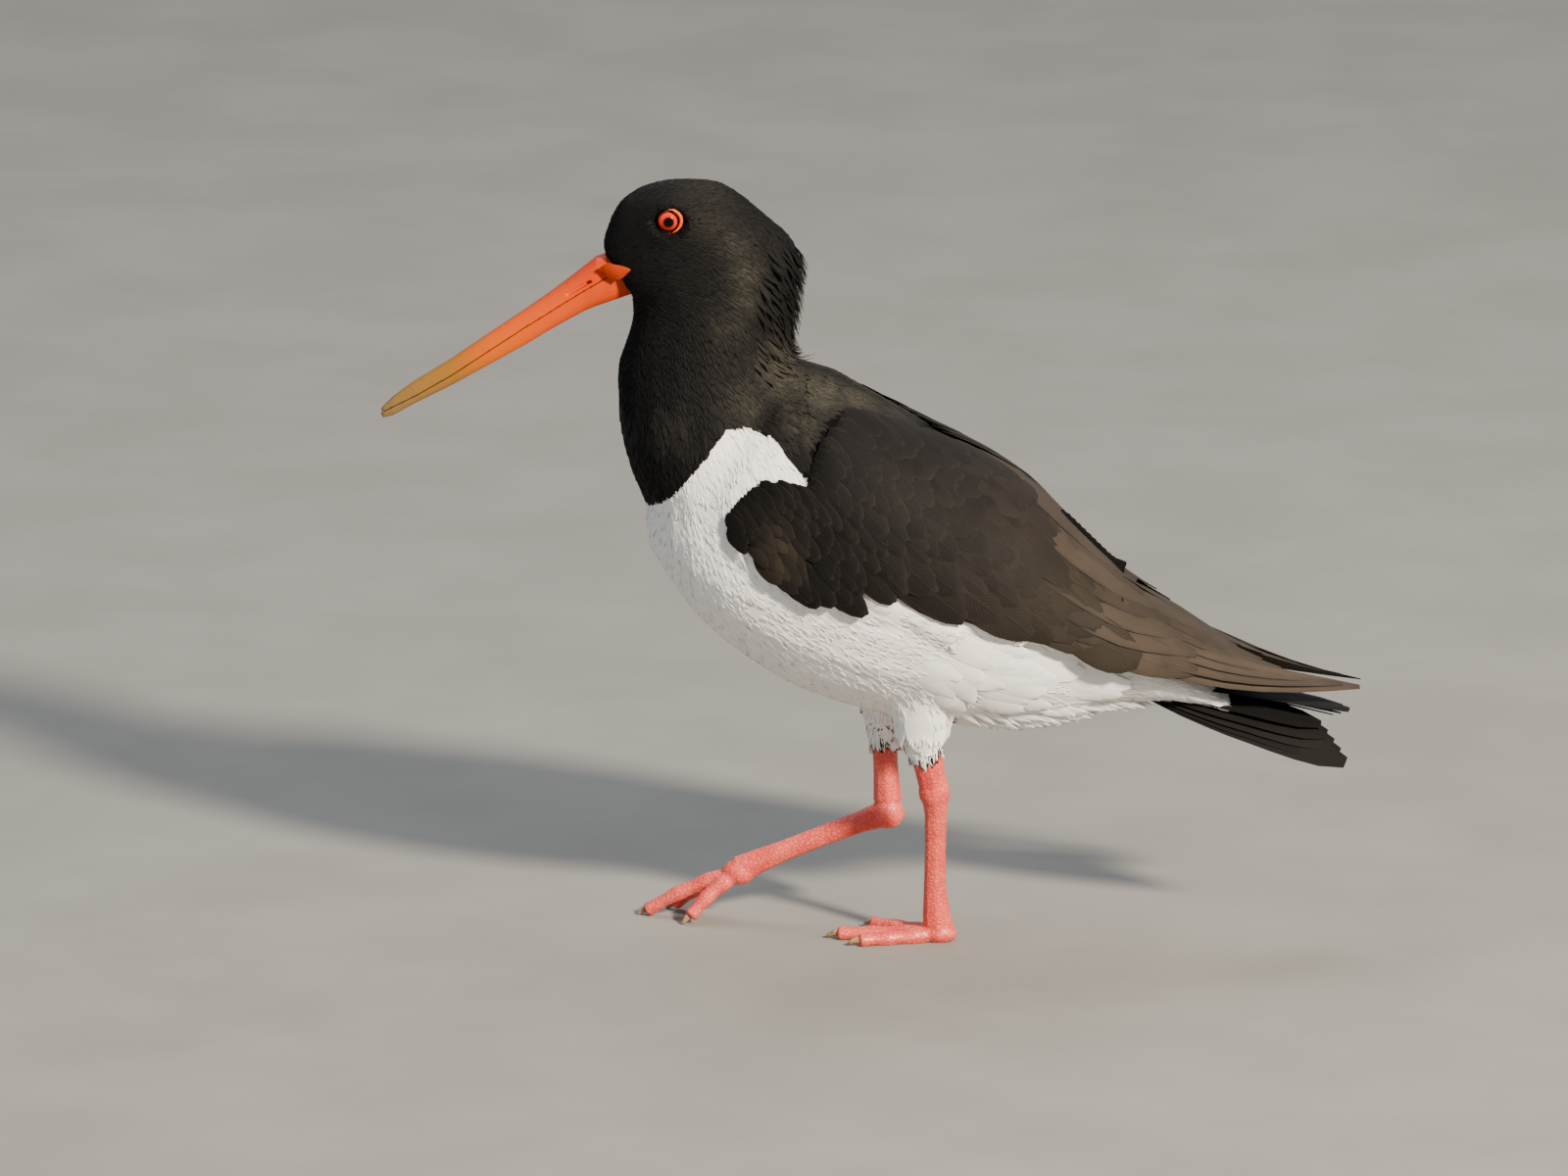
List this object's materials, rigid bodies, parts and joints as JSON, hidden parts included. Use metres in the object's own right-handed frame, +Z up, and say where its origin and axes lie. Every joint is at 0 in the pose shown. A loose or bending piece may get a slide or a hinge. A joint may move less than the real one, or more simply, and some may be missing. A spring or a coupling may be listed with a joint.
{
  "type": "oystercatcher",
  "caption": "Standing pied oystercatcher at life size, with folded wings, a long straight orange bill, red eyes and pink legs, one foot stepping forward.",
  "frame": {"origin": "on the floor the bird stands on, below the middle of its bounding box", "axes": "+Z up; the bill points towards -X, the tail towards +X, and the bird's left side is towards -Y"},
  "size_m": [0.3446, 0.1014, 0.2748],
  "materials": {
    "black_plumage": "black feathers, soft sheen",
    "brown_plumage": "dark brown flight feathers, dull",
    "white_plumage": "white feathers, matte",
    "bill_keratin": "orange-red keratin, satin, dull at the tip",
    "eye_ring": "bare orange-red skin",
    "eye": "wet red iris with a dark pupil",
    "leg_skin": "coral pink scaled skin, satin",
    "claw_horn": "brownish horn, satin"
  },
  "bodies": {
    "root": {"head": "black_plumage", "neck": "black_plumage", "mantle": "black_plumage", "tail": "black_plumage", "torso": "white_plumage", "thigh_left": "white_plumage", "thigh_right": "white_plumage", "wing_left": "brown_plumage", "wing_right": "brown_plumage", "bill_upper": "bill_keratin", "bill_lower": "bill_keratin", "eye_left": "eye", "eye_right": "eye", "eyelid_left": "eye_ring", "eyelid_right": "eye_ring", "shank_left": "leg_skin", "tarsus_left": "leg_skin", "foot_left": "leg_skin", "claw_left_inner": "claw_horn", "claw_left_middle": "claw_horn", "claw_left_outer": "claw_horn", "shank_right": "leg_skin", "tarsus_right": "leg_skin", "foot_right": "leg_skin", "claw_right_inner": "claw_horn", "claw_right_middle": "claw_horn", "claw_right_outer": "claw_horn"}
  },
  "joints": []
}
